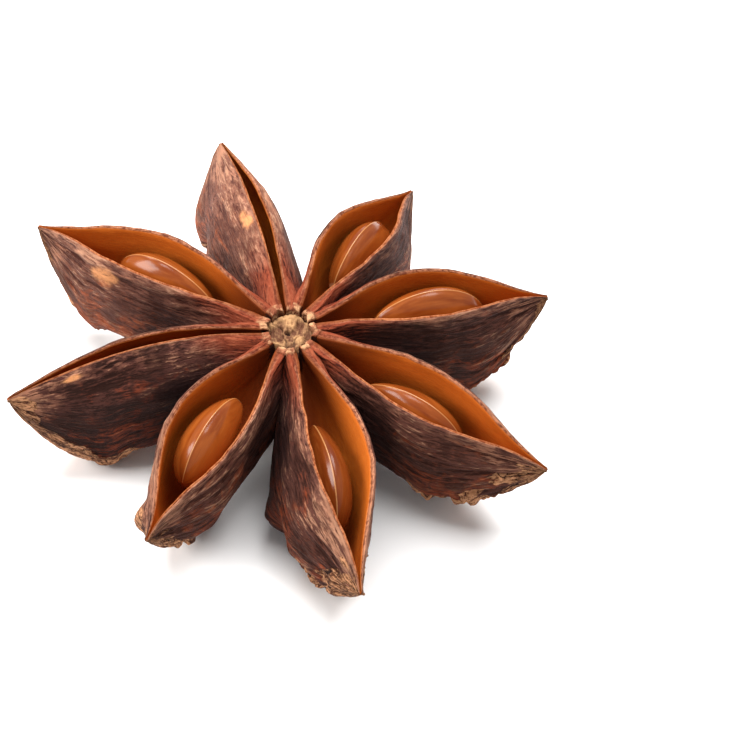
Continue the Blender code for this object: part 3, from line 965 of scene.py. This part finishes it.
def column_rings():
    """Rings over the disc, down inside the pods, and in over the scar; heights are noise in x and y."""
    radius = np.linspace(0.02, 1, COLUMN_RINGS)[:, None] * DISC_RADIUS
    angle = np.linspace(0, 2 * pi, COLUMN_AROUND, endpoint=False)
    x, y = radius * np.cos(angle) / MM, radius * np.sin(angle) / MM
    lumps = read(DISC_LUMPS, x, y)
    fibres = read(DISC_FIBRES, x, y, kind=crests)
    cracks = np.exp(-((read(DISC_CRACKS, x, y) / CRACK_WIDTH) ** 2))
    pit = np.exp(-((np.hypot(x * MM - PIT_X, y * MM) / PIT_RADIUS) ** 4))
    rim = smooth_step(radius / DISC_RADIUS + 0.07 * read(RAGGED_RIM, x, y), 0.72, 0.90)
    top = DISC_HEIGHT + DISC_LUMP * lumps + DISC_FIBRE * fibres - CRACK_DEPTH * cracks
    top = top - PIT_DEPTH * pit - RIM_DROP * rim
    disc = np.stack([x * MM, y * MM, top], axis=-1)

    out, height = np.array(FOOT_PROFILE).T[:, :, None] * MM
    foot = np.stack(np.broadcast_arrays(out * np.cos(angle), out * np.sin(angle), height), axis=-1)
    rings = np.concatenate([disc, foot])
    x, y, z = np.moveaxis(foot, -1, 0) / MM
    wobble = read(FOOT_LUMPS, x, y, z / FOOT_LUMP_UP)
    rings[COLUMN_RINGS:, :, 2] += FOOT_LUMP * wobble
    # Painted shade in the pit, the cracks and the sunken rim, and a little on the turned part below.
    painted_crease_shade = np.maximum(np.maximum(pit, 0.7 * cracks), rim)
    paint = {
        "crest": 0.5 + 0.5 * np.concatenate([lumps + 0.3 * fibres, wobble]),
        "dark": np.concatenate([painted_crease_shade, np.full(wobble.shape, 0.3)]),
    }
    return rings + np.array([COLUMN_X, COLUMN_Y, 0]), paint


rings, paint = column_rings()
disc = rings[:COLUMN_RINGS, :, 2] / MM
print("disc heights, mm:", disc.min().round(2), "to", disc.max().round(2))

# %% Column finish
FIBRE_COLOURS = (0.095, 0.033, 0.014), (0.380, 0.205, 0.092)
CREASE_SHADE_COLOUR = (0.035, 0.014, 0.010)
FLECKS_PER_METRE = (6500, 4500, 4500)

fibrous = Finish("torn column fibres", Roughness=0.8, Specular_IOR_Level=0.25)
spot_at = fibrous.node("ShaderNodeTexCoord", {}, {}, "Object")
crest = fibrous.attribute("crest")
dark = fibrous.attribute("dark")
flecks = fibrous.noise(spot_at, FLECKS_PER_METRE, 3, 0.65)
tan_fibre = fibrous.mix((crest + flecks - 0.5).between(0.05, 0.95), *FIBRE_COLOURS)
# Painted shade where the dark attribute is high.
tan_fibre = fibrous.mix(dark.between(0.25, 0.95), tan_fibre, CREASE_SHADE_COLOUR)
fibrous.feed(fibrous.shader.inputs["Base Color"], tan_fibre)
fibrous.feed(fibrous.shader.inputs["Normal"], fibrous.bump(flecks, 0.10 * MM, 0.7))
column = closed_surface("column", rings, fibrous, paint)
husk_pieces.append(column)
print("column made,", len(column.data.vertices), "points")

# %% [markdown]
# ## The seeds
# A seed is a hard, polished bean lying on edge in its pod. The edge that looks up carries a fine cream
# ridge from end to end, and the end next to the column has the rough spot where it hung. A sphere's two
# angles are its grid: one runs along the seed, the other round it, pinched towards the ridge.

# %% Seed surface
SEED_ROWS = 84
SEED_AROUND = 88
SEED_HALF_HEIGHT = 2.3 * MM
SEED_RIDGE_POWER = 1.35
SEED_HILUM_TAPER = 0.18
RIDGE_HEIGHT = 0.050 * MM
RIDGE_HALF_WIDTH = 0.050 * MM
SEED_WAVE = 0.012 * MM
# The seed's waves, in shares of its half-length and half-thickness.
SEED_GRAIN = Grain(1 / 1.6, 1 / 1.3, 700, 2)
SEED_LAYER = 7.0
HILUM_STARTS = -0.93
HILUM_FULL = -0.985
# Seeds that lie a little askew in their pods, in degrees and in mm, and how much painted shade darkens some
# whole seeds.
SEED_ROLLS = {6: 12}
SEED_SHIFTS = {6: -0.20}
SEED_PAINTED_SHADES = {3: 0.20, 6: 0.55}


def seed_rings(number, pod):
    """Rings along the seed: a circle whose cosine is taken to a power, with a raised line on top."""
    polar = np.linspace(0, pi, SEED_ROWS + 2)[1:-1, None]
    along = -np.cos(polar)
    angle = np.linspace(0, 2 * pi, SEED_AROUND, endpoint=False) + pi / 2
    girth = np.sin(polar) * (1 + SEED_HILUM_TAPER * along)
    across = np.sign(np.cos(angle)) * np.abs(np.cos(angle)) ** SEED_RIDGE_POWER
    y = pod.seed_half_thickness * MM * girth * across
    z = SEED_HALF_HEIGHT * girth * np.sin(angle)
    ridge = np.exp(-((y / RIDGE_HALF_WIDTH) ** 2)) * (z > 0)
    layer = np.sin(angle) / SEED_GRAIN.up + SEED_LAYER * number
    wave = read(SEED_GRAIN, along, np.cos(angle), layer, number)
    swell = 1 + SEED_WAVE / SEED_HALF_HEIGHT * wave
    z = z * swell + RIDGE_HEIGHT * ridge * np.sqrt(np.clip(1 - along**2, 0, 1))
    roll = radians(SEED_ROLLS.get(number, 0))
    y, z = y * swell * cos(roll) - z * sin(roll), y * swell * sin(roll) + z * cos(roll)
    length = pod.reach * MM - POD_START
    shares = pod.seed_at + along * pod.seed_half_length * MM / length
    points = place(pod, shares, y + SEED_SHIFTS.get(number, 0) * MM, z - pod.seed_depth * MM)
    whole = np.zeros(points.shape[:2])
    paint = {
        "ridge": whole + ridge,
        "hilum": whole + 1 - smooth_step(along + 0.03 * wave, HILUM_FULL, HILUM_STARTS),
        "height": whole + np.sin(angle),
        "shade": whole + SEED_PAINTED_SHADES.get(number, 0),
    }
    axes = (along * pod.seed_half_length, 2.0 * np.cos(angle), 2.0 * np.sin(angle))
    return points, paint, np.stack([whole + axis for axis in axes], axis=-1)


points, paint, grain = seed_rings(1, PODS[0])
print("seed length, mm:", (np.linalg.norm(points[0, 0] - points[-1, 0]) / MM).round(2))

# %% Seed finish
AMBER = (0.150, 0.029, 0.004), (0.235, 0.058, 0.009)
AMBER_UNDERSIDE_SHADE = (0.070, 0.011, 0.002)
AMBER_IN_SHADE = (0.080, 0.012, 0.002)
HAIR_COLOUR = (0.360, 0.120, 0.030)
RIDGE_CREAM = (0.560, 0.280, 0.100)
HILUM_TAN = (0.420, 0.200, 0.100)

shell = Finish("polished seed coat", Specular_IOR_Level=0.25, Coat_Roughness=0.12, Coat_Weight=0.16)
grain_at = shell.attribute("grain", "Vector")
ridge = shell.attribute("ridge")
hilum = shell.attribute("hilum")
height = shell.attribute("height")
shade = shell.attribute("shade")
cloud = shell.noise(grain_at, (0.30, 0.9, 0.9), 3, 0.5, 0.5)
hairs = shell.noise(grain_at, (0.8, 7.0, 7.0), 3, 0.6)
amber = shell.mix(cloud.between(0.35, 0.65), *AMBER)
# Painted shade on the seed's lower half.
amber = shell.mix((0.35 - height).between(0.0, 1.2) * 0.7, amber, AMBER_UNDERSIDE_SHADE)
# Painted shade over whole seeds, by the shade value.
amber = shell.mix(shade, amber, AMBER_IN_SHADE)
amber = shell.mix(hairs.between(0.50, 0.75) * 0.15, amber, HAIR_COLOUR)
amber = shell.mix(ridge.between(0.3, 0.9) * 0.45, amber, RIDGE_CREAM)
amber = shell.mix(hilum, amber, HILUM_TAN)
shell.feed(shell.shader.inputs["Base Color"], amber)
shell.feed(shell.shader.inputs["Roughness"], 0.20 + 0.16 * (cloud - 0.5) + 0.5 * hilum)
shell.feed(shell.shader.inputs["Normal"], shell.bump(hairs + hilum * hairs * 4, 0.03 * MM, 0.12))
seeds = []
for number, pod in enumerate(PODS, start=1):
    points, paint, grain = seed_rings(number, pod)
    seeds.append(closed_surface(f"fine_seed_{number}", points, shell, paint, grain))
print(len(seeds), "seeds of", triangle_count(seeds[0]), "triangles")

# %% [markdown]
# ## Tying the looks to the model
# Every piece rides on the model's one body, and the solid it stands for is hidden.

# %% Ride and replace
for piece in husk_pieces:
    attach(piece, "root")
    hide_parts("husk")
for number, piece in enumerate(seeds, start=1):
    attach(piece, "root")
    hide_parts(f"seed_{number}")
